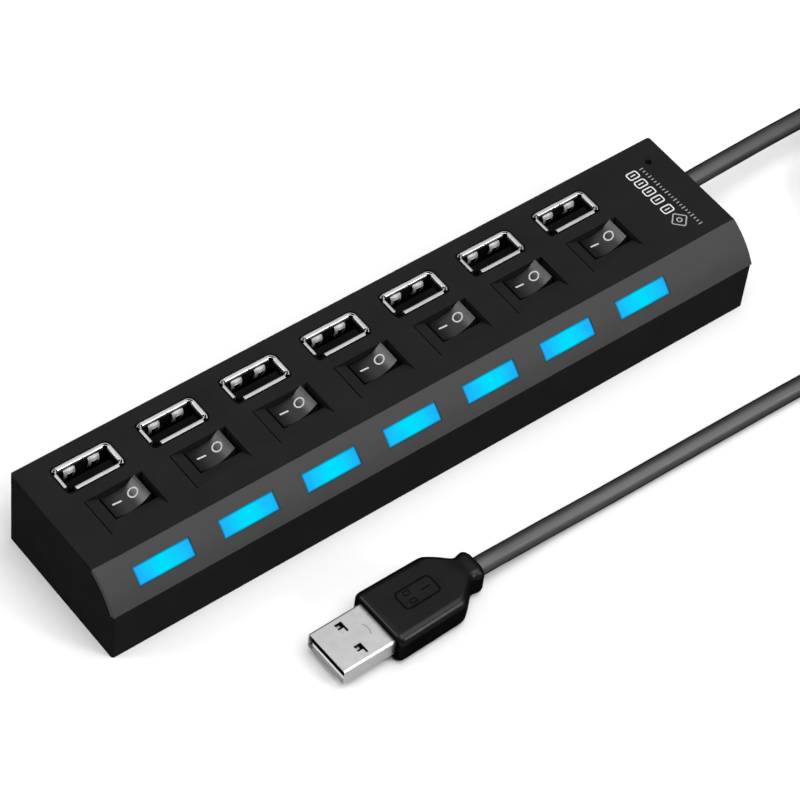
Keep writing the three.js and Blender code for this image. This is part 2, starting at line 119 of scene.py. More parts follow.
def mesh_piece(name, bm, slot, material, body=HOUSING, angle=35):
    """The bmesh, in millimetres, as a finished piece."""
    bmesh.ops.recalc_face_normals(bm, faces=bm.faces)
    bmesh.ops.scale(bm, vec=(MM, MM, MM), verts=bm.verts)
    data = bpy.data.meshes.new(name)
    bm.to_mesh(data)
    bm.free()
    smooth(data, angle)
    made = link(name, data, body, slot, material)
    weighted = made.modifiers.new("even_shading", "WEIGHTED_NORMAL")
    weighted.keep_sharp = True
    weighted.weight = 100
    return made


def soften(bm, width, segments=3, angle=35):
    """Rounds every edge that is sharper than the angle."""
    limit = math.radians(angle)
    sharp = [e for e in bm.edges if len(e.link_faces) == 2 and e.calc_face_angle(0) > limit]
    bmesh.ops.bevel(
        bm, geom=sharp, offset=width, segments=segments, profile=0.5, affect="EDGES",
        clamp_overlap=True, harden_normals=False)


def skin(node, name, slot, material, width, segments=3):
    """A finely rounded copy of a CAD node, which it stands for."""
    weld, flat = 0.002, math.radians(1)
    bm = bmesh.new()
    bm.from_mesh(frame["nodes"][node].data)
    bmesh.ops.scale(bm, vec=(1 / MM, 1 / MM, 1 / MM), verts=bm.verts)
    bmesh.ops.remove_doubles(bm, verts=bm.verts, dist=weld)
    bmesh.ops.dissolve_limit(bm, angle_limit=flat, verts=bm.verts, edges=bm.edges)
    soften(bm, width, segments)
    made = mesh_piece(name, bm, slot, material)
    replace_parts(made, node)
    return made


def new_rows(bm, rings):
    """A row of new vertices for each closed ring of points; every ring has the same count."""
    return [[bm.verts.new(point) for point in ring] for ring in rings]


def bridge(bm, near, far):
    """The faces between two closed rows of vertices."""
    count = len(near)
    for i in range(count):
        bm.faces.new((near[i], near[(i + 1) % count], far[(i + 1) % count], far[i]))


def loft(bm, rings):
    """Joins closed rings of points into one skin and fills its two ends."""
    rows = new_rows(bm, rings)
    for near, far in zip(rows, rows[1:]):
        bridge(bm, near, far)
    bm.faces.new(rows[0][::-1])
    bm.faces.new(rows[-1])


def hoop(bm, rings):
    """Joins closed rings of points into one skin, the last ring back to the first."""
    rows = new_rows(bm, rings)
    for near, far in zip(rows, rows[1:] + rows[:1]):
        bridge(bm, near, far)


def rounded_ring(width, height, radius, steps=6):
    """Points of a rectangle with round corners about the origin, as (u, v) pairs."""
    points = []
    for corner, (side_u, side_v) in enumerate(((1, 1), (-1, 1), (-1, -1), (1, -1))):
        for step in range(steps + 1):
            turn = math.radians(90 * (corner + step / steps))
            points.append((
                side_u * (width / 2 - radius) + radius * math.cos(turn),
                side_v * (height / 2 - radius) + radius * math.sin(turn),
            ))
    return points


def prism(bm, outline, place, depth):
    """Runs a flat outline of (u, v) pairs along a depth; place(u, v, w) gives each point."""
    loft(bm, [[place(u, v, w) for u, v in outline] for w in (0, depth)])


def rounded_block(bm, low, high, radius):
    """A box between two corners with its edges rounded."""
    low, high = Vector(low), Vector(high)
    made = bmesh.ops.create_cube(bm, size=1)["verts"]
    bmesh.ops.scale(bm, vec=high - low, verts=made)
    bmesh.ops.translate(bm, vec=(low + high) / 2, verts=made)
    edges = list(dict.fromkeys(e for v in made for e in v.link_edges))
    bmesh.ops.bevel(bm, geom=edges, offset=radius, segments=3, profile=0.5, affect="EDGES")


# ---------------------------------------------------------------- marks laid on a surface
# Each takes place(x, y, sink), which gives the point that lies sink beneath the mark's upper face.
MARK_DEPTH = 0.06
PRINT_PROUD = 0.015                    # how far the signs on the top stand proud of it


def on_top(x, y, sink):
    return Vector((x, y, TOP + PRINT_PROUD - sink))


def frame_mark(bm, x, y, width, height, radius, stroke, place, turn=0.0):
    """An outlined rectangle with round corners, turned by an angle in degrees."""
    cos, sin = math.cos(math.radians(turn)), math.sin(math.radians(turn))
    outer = rounded_ring(width, height, radius, 5)
    inner = rounded_ring(width - 2 * stroke, height - 2 * stroke, max(0.05, radius - stroke), 5)
    rings = []
    for outline, sink in ((outer, MARK_DEPTH), (outer, 0), (inner, 0), (inner, MARK_DEPTH)):
        rings.append([place(x + u * cos - v * sin, y + u * sin + v * cos, sink) for u, v in outline])
    hoop(bm, rings)


def ring_mark(bm, x, y, inner, outer, place):
    """A flat ring between two radii."""
    steps = 40
    rings = []
    for radius, sink in ((outer, MARK_DEPTH), (outer, 0), (inner, 0), (inner, MARK_DEPTH)):
        turns = [math.tau * step / steps for step in range(steps)]
        rings.append([
            place(x + radius * math.cos(turn), y + radius * math.sin(turn), sink) for turn in turns])
    hoop(bm, rings)


def bar_mark(bm, x, y, length, width, place):
    """A short line with round ends, its length along X."""
    outline = rounded_ring(length, width, width * 0.42, 3)
    loft(bm, [[place(x + u, y + v, sink) for u, v in outline] for sink in (MARK_DEPTH, 0)])


# ---------------------------------------------------------------- materials
class Surface:
    """A Principled material and the few node patterns that the surfaces share."""

    def __init__(self, name, **values):
        self.material = bpy.data.materials.new(name)
        self.material.use_nodes = True
        self.tree = self.material.node_tree
        self.shader = self.tree.nodes["Principled BSDF"]
        for socket, value in values.items():
            self.shader.inputs[socket.replace("_", " ")].default_value = value

    def node(self, kind, **settings):
        made = self.tree.nodes.new(kind)
        for name, value in settings.items():
            setattr(made, name, value)
        return made

    def join(self, source, target):
        self.tree.links.new(source, target)

    def math(self, operation, first, second):
        """One step of arithmetic on sockets or numbers."""
        step = self.node("ShaderNodeMath", operation=operation)
        for socket, value in zip(step.inputs, (first, second)):
            if isinstance(value, (int, float)):
                socket.default_value = value
            else:
                self.join(value, socket)
        return step.outputs[0]

    def noise(self, scale, detail=2.0, stretch=(1, 1, 1)):
        """Noise in the object's own millimetres: scale is patches per millimetre."""
        place = self.node("ShaderNodeTexCoord")
        mapping = self.node("ShaderNodeMapping")
        mapping.inputs["Scale"].default_value = [s * scale / MM for s in stretch]
        noise = self.node("ShaderNodeTexNoise")
        noise.inputs["Scale"].default_value = 1
        noise.inputs["Detail"].default_value = detail
        self.join(place.outputs["Object"], mapping.inputs["Vector"])
        self.join(mapping.outputs["Vector"], noise.inputs["Vector"])
        return noise.outputs["Fac"]

    def remap(self, value, start, stop, low, high, **settings):
        """A value that runs from start to stop, made to run from low to high."""
        spread = self.node("ShaderNodeMapRange", **settings)
        spread.inputs["From Min"].default_value = start
        spread.inputs["From Max"].default_value = stop
        spread.inputs["To Min"].default_value = low
        spread.inputs["To Max"].default_value = high
        self.join(value, spread.inputs["Value"])
        return spread.outputs["Result"]

    def between(self, fac, low, high):
        """Noise, most of which lies between 0.3 and 0.7, spread between two values."""
        return self.remap(fac, 0.3, 0.7, low, high)

    def mottle(self, fac, dark, light):
        """The base colour, wandering between two near colours."""
        mix = self.node("ShaderNodeMix", data_type="RGBA")
        mix.inputs["A"].default_value = (*dark, 1)
        mix.inputs["B"].default_value = (*light, 1)
        self.join(self.between(fac, 0, 1), mix.inputs["Factor"])
        self.join(mix.outputs["Result"], self.shader.inputs["Base Color"])

    def roughen(self, fac, low, high):
        self.join(self.between(fac, low, high), self.shader.inputs["Roughness"])

    def bump(self, fac, depth):
        """Relief whose peaks stand about depth millimetres proud."""
        bump = self.node("ShaderNodeBump")
        bump.inputs["Strength"].default_value = 1
        bump.inputs["Distance"].default_value = depth * MM
        self.join(fac, bump.inputs["Height"])
        self.join(bump.outputs["Normal"], self.shader.inputs["Normal"])


def grey(value):
    return (value, value, value)


def plastic(made, dark, light, rough, spread, grain, relief):
    """A fine spark-eroded grain, a slow change of gloss and a faint mottle."""
    slow = made.noise(0.12, 3)
    made.mottle(slow, grey(dark), grey(light))
    made.roughen(slow, rough - spread, rough + spread)
    made.bump(made.noise(grain, 2), relief)
    return made.material


def moulded(name, dark, light, rough, grain=6.0, relief=0.004, specular=0.3):
    """Moulded plastic, from its darkest and lightest grey."""
    return plastic(Surface(name, Specular_IOR_Level=specular), dark, light, rough, 0.05, grain, relief)


def satin(name, dark, light, rough, gleam, grain, relief):
    """Satin plastic, dark where it is seen edge on: most of what it gives back is a soft highlight."""
    made = Surface(name, Metallic=gleam, Specular_IOR_Level=0.0, Specular_Tint=(0, 0, 0, 1))
    return plastic(made, dark, light, rough, 0.04, grain, relief)


def circuit_board(name):
    """Green solder resist."""
    made = Surface(name, Specular_IOR_Level=0.3)
    slow = made.noise(0.12, 3)
    made.mottle(slow, (0.01, 0.07, 0.03), (0.015, 0.09, 0.04))
    made.roughen(slow, 0.3, 0.4)
    made.bump(made.noise(6, 2), 0.004)
    return made.material


def sprung_steel(name):
    """The sockets' leaves: dull plating that shows its shape inside the dark bore."""
    made = Surface(name, Metallic=0.4, Specular_IOR_Level=0.1)
    made.mottle(made.noise(1.2), grey(0.2), grey(0.26))
    made.roughen(made.noise(5), 0.4, 0.55)
    made.bump(made.noise(9, 2, stretch=(1, 1, 0.1)), 0.001)
    return made.material


def sheet_steel(name, colour, rough):
    """Nickel-plated sheet: fine rolling lines and slight smears of gloss."""
    made = Surface(name, Metallic=1.0)
    lines = made.noise(9, 2, stretch=(0.04, 1, 1))
    made.mottle(made.noise(0.5), grey(colour * 0.92), grey(colour))
    made.roughen(lines, rough - 0.06, rough + 0.08)
    made.bump(lines, 0.0006)
    return made.material


def gold(name):
    """Gilt contacts, a little worn."""
    made = Surface(name, Metallic=1.0)
    made.mottle(made.noise(1.5), (0.75, 0.5, 0.2), (0.85, 0.6, 0.28))
    made.roughen(made.noise(6), 0.22, 0.36)
    return made.material


def print_ink(name, dark, light):
    """Thin pad-printed ink, a little uneven."""
    made = Surface(name, Specular_IOR_Level=0.3)
    made.mottle(made.noise(2.5), grey(dark), grey(light))
    made.roughen(made.noise(4), 0.5, 0.65)
    return made.material


def window_distances(made):
    """How many millimetres a point of a lit window lies from its middle, along it and across it."""
    pitch = centre_of("light_guide_2").x - centre_of("light_guide_1").x
    place = made.node("ShaderNodeTexCoord")
    split = made.node("ShaderNodeSeparateXYZ")
    made.join(place.outputs["Object"], split.inputs["Vector"])

    windows = made.math("DIVIDE", split.outputs["X"], pitch * MM)
    shifted = made.math("SUBTRACT", windows, centre_of("light_guide_1").x / pitch - 0.5)
    centred = made.math("SUBTRACT", made.math("FRACT", shifted, 0), 0.5)
    along = made.math("MULTIPLY", made.math("ABSOLUTE", centred, 0), pitch)

    middle = on_arc(0, 0, 0) * MM
    up = CHORD.normalized()
    rise_y = made.math("MULTIPLY", made.math("SUBTRACT", split.outputs["Y"], middle.y), up.x / MM)
    rise_z = made.math("MULTIPLY", made.math("SUBTRACT", split.outputs["Z"], middle.z), up.y / MM)
    return along, made.math("ABSOLUTE", made.math("ADD", rise_y, rise_z), 0)


def window_light():
    """A lit diffuser: cyan in each window's middle, bluer towards its ends and dimmer at its edges."""
    low, high = box_of("light_guide_1")
    half_length = (high.x - low.x) / 2
    edge_width, edge_level, cloudy = 0.55, 0.18, 0.12
    made = Surface("window_light", Specular_IOR_Level=0.0)
    along, across = window_distances(made)

    cloud = made.between(made.noise(0.35, 1), -cloudy, cloudy)
    ramp = made.node("ShaderNodeValToRGB")
    ramp.color_ramp.elements[0].position = 0.1
    ramp.color_ramp.elements[0].color = (0.0, 0.7, 0.98, 1)
    ramp.color_ramp.elements[1].position = 0.9
    ramp.color_ramp.elements[1].color = (0.012, 0.42, 0.9, 1)
    made.join(made.math("ADD", made.math("DIVIDE", along, half_length), cloud), ramp.inputs["Fac"])

    from_end = made.math("SUBTRACT", half_length, along)
    from_side = made.math("SUBTRACT", WINDOW_HALF, across)
    inset = made.math("MINIMUM", from_end, from_side)
    fade = made.remap(inset, -0.05, edge_width, edge_level, 1.0, interpolation_type="SMOOTHSTEP")
    made.join(ramp.outputs["Color"], made.shader.inputs["Emission Color"])
    made.join(fade, made.shader.inputs["Emission Strength"])
    made.mottle(made.noise(1), (0.0, 0.01, 0.02), (0.0, 0.02, 0.03))
    made.roughen(made.noise(2), 0.35, 0.45)
    return made.material


HOUSING_BLACK = moulded("housing_black", 0.007, 0.0083, 0.55, specular=0.0)
BEZEL_GREY = moulded("bezel_grey", 0.0275, 0.03, 0.5, grain=8, relief=0.002, specular=0.03)
ROCKER_BLACK = moulded("rocker_black", 0.0015, 0.0025, 0.36, grain=8, relief=0.0015)
INNER_BLACK = moulded("inner_black", 0.002, 0.003, 0.6, specular=0.0)
# Near black for the grip's outline mark: painted shade standing in for the grooves of a deboss.
DEBOSS_SHADE_BLACK = moulded("deboss_shade_black", 0.0022, 0.0028, 0.6, specular=0.0)
TIE_BLACK = moulded("tie_black", 0.01, 0.016, 0.6, grain=3, relief=0.02)
PALE_PLASTIC = moulded("pale_plastic", 0.68, 0.74, 0.45, specular=0.5)
GRIP_BLACK = satin("grip_black", 0.011, 0.0127, 0.32, 0.86, grain=5, relief=0.002)
CORD_BLACK = satin("cord_black", 0.053, 0.061, 0.52, 0.95, grain=4, relief=0.003)
BOARD_GREEN = circuit_board("board_green")
STEEL = sheet_steel("steel", 0.72, 0.28)
SCREW_STEEL = sheet_steel("screw_steel", 0.12, 0.35)
LIP_STEEL = sheet_steel("lip_steel", 0.49, 0.38)
PLUG_STEEL = sheet_steel("plug_steel", 0.38, 0.36)
FLAP_STEEL = sheet_steel("flap_steel", 0.33, 0.45)
STAMP_STEEL = sheet_steel("stamp_steel", 0.2, 0.45)
LEAF_STEEL = sprung_steel("leaf_steel")
GOLD = gold("contact_gold")
PRINT_WHITE = print_ink("print_white", 0.3, 0.38)
PRINT_GREY = print_ink("print_grey", 0.13, 0.18)
ROCKER_INK = print_ink("rocker_ink", 0.235, 0.275)


# ---------------------------------------------------------------- the cord
CORD_RADIUS = 2.2
COIL_CENTRE = Vector((140, -19))
COIL_START, COIL_END = -60, -810       # degrees, turning clockwise from the inner turn to the way out
COIL_INNER, COIL_OUTER = 17.9, 27.4    # centreline radii of its first and last points
COIL_POINTS = 63
COIL_DROP, COIL_DROP_SHARE = 0.9, 1 / 16    # how high the coil starts, and how soon it lies on the floor

# From inside the housing, over the coil's outer turns; the coil's turns follow, and then the way back.
LEAD_ROUTE = [
    (80.4, 9.4, 11.3), (85, 9.5, 11.3), (92, 9.7, 11.3), (99.5, 9.95, 11.2), (107, 10.2, 11.05),
    (114, 10.5, 10.8), (121, 10.8, 10.4), (128, 11.2, 9.8), (134, 11.5, 9.2), (140, 11.5, 8.6),
    (146, 10.5, 8.1), (151.5, 8.2, 7.8), (156.3, 4.6, 7.6), (159.8, 0.1, 7.5), (162, -5.2, 7.5),
    (163, -10.8, 7.4), (163.2, -16, 7.2),
]
DROP_ROUTE = [(162.6, -20.4, 7.0), (160.5, -24.8, 6.7), (157, -28.6, 6.0), (153.1, -31.8, 4.6)]
TAIL_ROUTE = [
    (132, -46.35, 2.2), (124, -46.2, 2.2), (116, -46, 2.2), (109, -45.7, 2.2), (100, -45.3, 2.2),
    (90, -44.9, 2.2), (78.5, -44.5, 2.2), (66, -44.3, 2.2), (53, -44.15, 2.2), (40, -44, 2.2),
    (28, -43.9, 2.2), (17, -43.8, 2.35), (6, -43.85, 2.9), (-3, -44.05, 3.5), (-8, -44.2, 3.95),
    (-12, -44.3, 4.1), (-17, -44.47, 4.1),
]


def coil_turns():
    """The coil's points: a flat spiral outwards on the floor, which the lead drops on to first."""
    points = []
    for point in range(COIL_POINTS):
        done = point / (COIL_POINTS - 1)
        turn = math.radians(COIL_START + (COIL_END - COIL_START) * done)
        radius = COIL_INNER + (COIL_OUTER - COIL_INNER) * done
        drop = max(0.0, 1 - done / COIL_DROP_SHARE)
        points.append((
            COIL_CENTRE.x + radius * math.cos(turn),
            COIL_CENTRE.y + radius * math.sin(turn),
            CORD_RADIUS + COIL_DROP * drop ** 2,
        ))
    return points


def cord_curve():
    """The whole lead as one smooth spline, from inside the housing to inside the plug."""
    route = LEAD_ROUTE + DROP_ROUTE + coil_turns() + TAIL_ROUTE
    data = bpy.data.curves.new("lead", "CURVE")
    data.dimensions = "3D"
    data.resolution_u = 6
    data.bevel_depth = CORD_RADIUS * MM
    data.bevel_resolution = 8
    data.use_fill_caps = True
    spline = data.splines.new("BEZIER")
    spline.bezier_points.add(len(route) - 1)
    for point, place in zip(spline.bezier_points, route):
        point.co = Vector(place) * MM
        point.handle_left_type = "AUTO"
        point.handle_right_type = "AUTO"
    made = link("lead", data, HOUSING, "cord_black", CORD_BLACK)
    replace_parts(made, "cord_lead", "cord_coil", "cord_tail")
    return made


lead = cord_curve()


# ---------------------------------------------------------------- studio
def overhead_sky():
    """A soft light from above: bright overhead, falling away towards the horizon."""
    levels = {"From Min": 0.4, "From Max": 0.9, "To Min": 0.12, "To Max": 1.2}    # height to strength
    world = bpy.data.worlds.new("studio")
    bpy.context.scene.world = world
    world.use_nodes = True
    tree = world.node_tree
    background = tree.nodes["Background"]
    background.inputs["Color"].default_value = (1, 1, 1, 1)
    place = tree.nodes.new("ShaderNodeTexCoord")
    split = tree.nodes.new("ShaderNodeSeparateXYZ")
    spread = tree.nodes.new("ShaderNodeMapRange")
    spread.interpolation_type = "SMOOTHSTEP"
    for socket, value in levels.items():
        spread.inputs[socket].default_value = value
    tree.links.new(place.outputs["Generated"], split.inputs["Vector"])
    tree.links.new(split.outputs["Z"], spread.inputs["Value"])
    tree.links.new(spread.outputs["Result"], background.inputs["Strength"])


def floor():
    """A pale square, wide enough to meet the picture's edges; its half width is in metres."""
    half = 6.0
    corners = [(-half, -half, 0), (half, -half, 0), (half, half, 0), (-half, half, 0)]
    data = bpy.data.meshes.new("floor")
    data.from_pydata(corners, [], [(0, 1, 2, 3)])
    made = bpy.data.objects.new("floor", data)
    bpy.context.scene.collection.objects.link(made)
    paint = Surface("floor", Specular_IOR_Level=0.0)
    paint.mottle(paint.noise(0.02, 2), grey(0.46), grey(0.48))
    paint.roughen(paint.noise(0.02), 0.85, 0.95)
    data.materials.append(paint.material)


def lights():
    """A wide key light overhead, one behind on the left and a small one at the front right.

    Each lamp's place and sizes are in metres, its power in watts, and it faces the hub.
    """
    lamps = (
        ("key", (0.08, -0.26, 0.96), 1.0, 1.0, 15.5),
        ("kicker", (-0.99, 0.7, 0.92), 0.68, 0.8, 14.0),
        ("front", (0.61, -1.05, 0.68), 0.42, 0.36, 11.2),
    )
    for name, place, size, depth, power in lamps:
        lamp = bpy.data.lights.new(name, "AREA")
        lamp.shape = "ELLIPSE"
        lamp.size = size
        lamp.size_y = depth
        lamp.energy = power
        made = bpy.data.objects.new(name, lamp)
        made.location = place
        made.rotation_euler = (-Vector(place)).to_track_quat("-Z", "Y").to_euler()
        bpy.context.scene.collection.objects.link(made)


bpy.context.scene.view_settings.view_transform = "Standard"
overhead_sky()
floor()
lights()


# ---------------------------------------------------------------- housing
END = HUB_HIGH.x
FRONT = HUB_LOW.y
CREASE_Y, LIP_Z, BULGE = -10.7, 13.8, 0.9     # the bezel's upper and lower edges, and its arc's rise
BEZEL_THICK = 1.4
WINDOW_HALF = 4.3 / 2
CHORD = Vector((CREASE_Y - FRONT, TOP - LIP_Z))    # from the bezel's lower edge to its upper one, in Y and Z
ARC_RADIUS = CHORD.length ** 2 / (8 * BULGE) + BULGE / 2
ARC_HALF = math.asin(CHORD.length / 2 / ARC_RADIUS)
OUTWARD = Vector((-CHORD.y, CHORD.x)).normalized()
ARC_CENTRE = Vector(((CREASE_Y + FRONT) / 2, (TOP + LIP_Z) / 2)) - OUTWARD * (ARC_RADIUS - BULGE)


def on_arc(x, along, depth):
    """A point on the bezel: along is how far up its arc from the middle, depth is beneath its face."""
    turn = along / ARC_RADIUS
    across = OUTWARD * math.cos(turn) + CHORD.normalized() * math.sin(turn)
    place = ARC_CENTRE + across * (ARC_RADIUS - depth)
    return Vector((x, place.x, place.y))


def slab(bm, columns, rows, thickness, place, hole):
    """A thick sheet on a grid: place(u, v, depth) gives a point, hole(i, j) says what to leave out."""
    layers = []
    for depth in (0, thickness):
        layers.append([[bm.verts.new(place(u, v, depth)) for v in rows] for u in columns])
    wide, high = len(columns) - 1, len(rows) - 1

    def solid(i, j):
        return 0 <= i < wide and 0 <= j < high and not hole(i, j)

    for i in range(wide):
        for j in range(high):
            if not solid(i, j):
                continue
            corners = ((i, j), (i + 1, j), (i + 1, j + 1), (i, j + 1))
            for layer in layers:
                bm.faces.new([layer[a][b] for a, b in corners])
            beyond = ((i, j - 1), (i + 1, j), (i, j + 1), (i - 1, j))
            for k, neighbour in enumerate(beyond):
                if not solid(*neighbour):
                    (a, b), (c, d) = corners[k], corners[(k + 1) % 4]
                    bm.faces.new((layers[0][a][b], layers[0][c][d], layers[1][c][d], layers[1][a][b]))
    loose = [v for v in bm.verts if not v.link_faces]
    bmesh.ops.delete(bm, geom=loose, context="VERTS")


def bezel():
    """The curved grey strip, from end to end, with its seven openings."""
    seam, end_gap, clear = 0.07, 0.05, 0.02    # along its long edges, at its ends and round each window
    edges = []
    for number in PORTS:
        low, high = box_of(f"light_guide_{number}")
        edges += [low.x - clear, high.x + clear]
    columns = [-END + end_gap] + edges + [END - end_gap]
    top = ARC_HALF * ARC_RADIUS - seam
    opening = WINDOW_HALF + clear
    above = [opening + (top - opening) * step / 3 for step in range(4)]
    beside = [-opening / 3, opening / 3]
    rows = [-v for v in reversed(above)] + beside + above
    bm = bmesh.new()
    slab(bm, columns, rows, BEZEL_THICK, on_arc, lambda i, j: i % 2 == 1 and 3 <= j <= 5)
    soften(bm, 0.1, 2, 50)
    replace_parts(mesh_piece("bezel", bm, "bezel_grey", BEZEL_GREY), "front_bezel")


WINDOW_LIGHT = window_light()
skin("top_shell", "housing_top", "housing_black", HOUSING_BLACK, 0.2)
skin("bottom_cover", "housing_base", "housing_black", HOUSING_BLACK, 0.25)
bezel()
for number in PORTS:
    skin(f"light_guide_{number}", f"window_{number}", "window_blue", WINDOW_LIGHT, 0.1, 2)


# ---------------------------------------------------------------- sockets
BORE = Vector((6.15, 2.55))            # half the socket's inside, in X and Y
CORNER_RADIUS = 0.5
SOCKET_BEHIND_ROCKER = 10.1            # from a rocker's middle back to its socket's
SHEET = 0.3
LIP_EDGE = 0.07                        # the lips' thickness at their outer edge
LIP_DEEP, LIP_WIDE = 3.2, 0.95         # how far down the tube the lips start, and how far out they reach
TUBE_TOP = TOP - LIP_DEEP
# A lip's upper face, from the tube's inside outwards: how far out, and how far below or above the top.
LIP = [
    (0, -LIP_DEEP), (0, -0.3), (0.02, -0.12), (0.06, -0.03), (0.14, 0.015), (0.35, 0.03), (0.75, 0.03),
    (LIP_WIDE, 0.02),
]
CONTACTS = (-3.5, -1, 1, 3.5)          # where the four contacts lie across a socket, and across the plug


def lip_section(inner, outer):
    """A lip's closed section as (out, height) pairs, kept between two distances out from the bore."""
    top = []
    for out, height in LIP:
        held = min(max(out, inner), outer)
        for (a, za), (b, zb) in zip(LIP[1:], LIP[2:]):
            if a < held <= b:
                height = za + (zb - za) * (held - a) / (b - a)
        top.append((held, height))
    under = []
    for i, (out, height) in enumerate(top):
        steep = max(0.0, 1 - i / 3)
        thick = SHEET + (LIP_EDGE - SHEET) * out / LIP_WIDE
        under.append((out + SHEET * steep, height - thick * (1 - steep)))
    return top + under[::-1]


def lip(bm, path):
    """Sweeps a lip along (x, y, out_x, out_y, inner, outer) stations about the bore."""
    rings = []
    for x, y, out_x, out_y, inner, outer in path:
        section = lip_section(inner, outer)
        rings.append([(x + out * out_x, y + out * out_y, TOP + height) for out, height in section])
    loft(bm, rings)


def corner(side_x, side_y, start, stop, inner, outer, steps=5):
    """Stations round one corner of the bore, between two angles in degrees."""
    centre = Vector((side_x * (BORE.x - CORNER_RADIUS), side_y * (BORE.y - CORNER_RADIUS)))
    stations = []
    for step in range(steps + 1):
        turn = math.radians(start + (stop - start) * step / steps)
        out = Vector((math.cos(turn), math.sin(turn)))
        spot = centre + out * CORNER_RADIUS
        stations.append((spot.x, spot.y, out.x, out.y, inner, outer))
    return stations


def socket_lips(bm):
    """The back and right lips share a corner; the front and left ones hook in at theirs."""
    outer_hook, inner_hook, corner_hollow = 0.52, 0.34, 0.42
    right_wide, left_wide = LIP_WIDE + 0.2, LIP_WIDE - 0.2
    reach_x, reach_y = BORE.x - CORNER_RADIUS, BORE.y - CORNER_RADIUS
    notch, front_start, left_gap = 0.12, -4.9, 0.2
    seam = [(0.35, 0), (0.42, 0.2), (0.58, 0.2), (0.65, 0)]    # a nick where the folded sheet's ends meet

    back = corner(-1, 1, 140, 90, outer_hook, LIP_WIDE)
    for x, inner in [(-reach_x + notch, 0), *seam, (reach_x - notch, 0)]:
        back.append((x, BORE.y, 0, 1, inner, LIP_WIDE))
    back += corner(1, 1, 90, 0, corner_hollow, LIP_WIDE, 7)
    back += [(BORE.x, y, 1, 0, 0, right_wide) for y in (reach_y - notch, -reach_y + notch)]
    back += corner(1, -1, 0, -50, outer_hook, right_wide)
    lip(bm, back)

    front = [(x, -BORE.y, 0, -1, 0, LIP_WIDE) for x in (front_start, reach_x - notch)]
    front += corner(1, -1, -90, -20, 0, inner_hook)
    lip(bm, front)

    left = [(-BORE.x, y, -1, 0, 0, left_wide) for y in (-reach_y + left_gap, reach_y - notch)]
    left += corner(-1, 1, 180, 110, 0, inner_hook)
    lip(bm, left)


def tube(bm, outer, inner, radius, low, high):
    """An upright rectangular tube with round corners, from its outer and inner half sizes."""
    rings = []
    for half, z in ((outer, low), (outer, high), (inner, high), (inner, low)):
        round_by = max(0.1, radius - (outer[0] - half[0]))
        rings.append([(u, v, z) for u, v in rounded_ring(2 * half[0], 2 * half[1], round_by)])
    hoop(bm, rings)


# A leaf's side view: how far it stands in from the back wall, and how far below the top.
LEAF = [(-0.1, 0.7), (0.22, 0.8), (0.5, 1.0), (0.72, 1.3), (0.84, 1.65), (0.88, 2.05), (0.84, 2.5),
        (0.72, 3.0), (0.5, 3.5), (0.2, 4.0)]


def leaf(bm, x):
    """A sprung leaf pressed out of the back wall: an arch whose foot is split into two legs."""
    columns = [-1.35, -1.1, -0.8, -0.4, 0, 0.4, 0.8, 1.1, 1.35]
    crown = 0.32                       # how far its middle stands proud of its sides
    thickness = 0.2

    def place(u, v, depth):
        stand, below = LEAF[v]
        inset = stand - crown * (u / columns[-1]) ** 2 - depth
        return Vector((x + u, BORE.y - inset, TOP - below))

    def slot(i, j):
        return j >= 4 and 2 <= i <= 5

    slab(bm, columns, list(range(len(LEAF))), thickness, place, slot)


def socket_sheet(number, middle, bottom):
    """The folded steel tube with its lips."""
    weld = 0.004
    bm = bmesh.new()
    tube(bm, BORE + Vector((SHEET, SHEET)), BORE, CORNER_RADIUS + SHEET, bottom, TUBE_TOP)
    socket_lips(bm)
    bmesh.ops.remove_doubles(bm, verts=bm.verts, dist=weld)
    bmesh.ops.dissolve_degenerate(bm, edges=bm.edges, dist=weld)
    soften(bm, 0.05, 2, 50)
    bmesh.ops.translate(bm, vec=middle, verts=bm.verts)
    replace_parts(mesh_piece(f"socket_sheet_{number}", bm, "steel", LIP_STEEL), f"socket_shell_{number}")


def socket_leaves(number, middle):
    """The two leaves that grip a plug from behind."""
    bm = bmesh.new()
    for x in (-3, 3):
        leaf(bm, x)
    soften(bm, 0.05, 2, 50)
    bmesh.ops.translate(bm, vec=middle, verts=bm.verts)
    mesh_piece(f"socket_leaves_{number}", bm, "steel", LEAF_STEEL)


def socket_painted_shade(number, middle, bottom):
    """A black sheet inside the bore, painted shade that darkens it, and a black ring round the lips' outer
    edge, painted shade for the gap there.
    """
    clear = Vector((0.02, 0.02))
    foot_gap, top_gap = 1.5, 0.62      # how far the sheet of painted shade stops short of the tube's foot and of the top
    # A flat black ring on the top round the lips: painted shade for the gap between lip and housing.
    shade_ring_width, shade_ring_shift, shade_ring_corner = 0.22, 0.1, 1.5
    reach = BORE + Vector((1.26, 1.2))
    bm = bmesh.new()
    # A black sheet inside the bore: painted shade that darkens the socket's inside.
    tube(bm, BORE - clear, BORE - 3 * clear, CORNER_RADIUS, bottom + foot_gap, TOP - top_gap)
    bmesh.ops.translate(bm, vec=middle, verts=bm.verts)
    frame_mark(bm, middle.x + shade_ring_shift, middle.y, 2 * reach.x, 2 * reach.y, shade_ring_corner, shade_ring_width, on_top)
    mesh_piece(f"socket_painted_shade_{number}", bm, "inner_black", INNER_BLACK)


def socket_contacts(number, middle):
    """Four gilt strips on the tongue's back face."""
    half_width, tip_gap, length = 0.5, 0.8, 7.2
    _, tongue = box_of(f"socket_insulator_{number}")
    top = tongue.z - tip_gap
    bm = bmesh.new()
    for x in CONTACTS:
        rounded_block(bm, (x - half_width, -0.02, top - length), (x + half_width, 0.09, top), 0.04)
    bmesh.ops.translate(bm, vec=middle, verts=bm.verts)
    mesh_piece(f"socket_contacts_{number}", bm, "steel", GOLD)


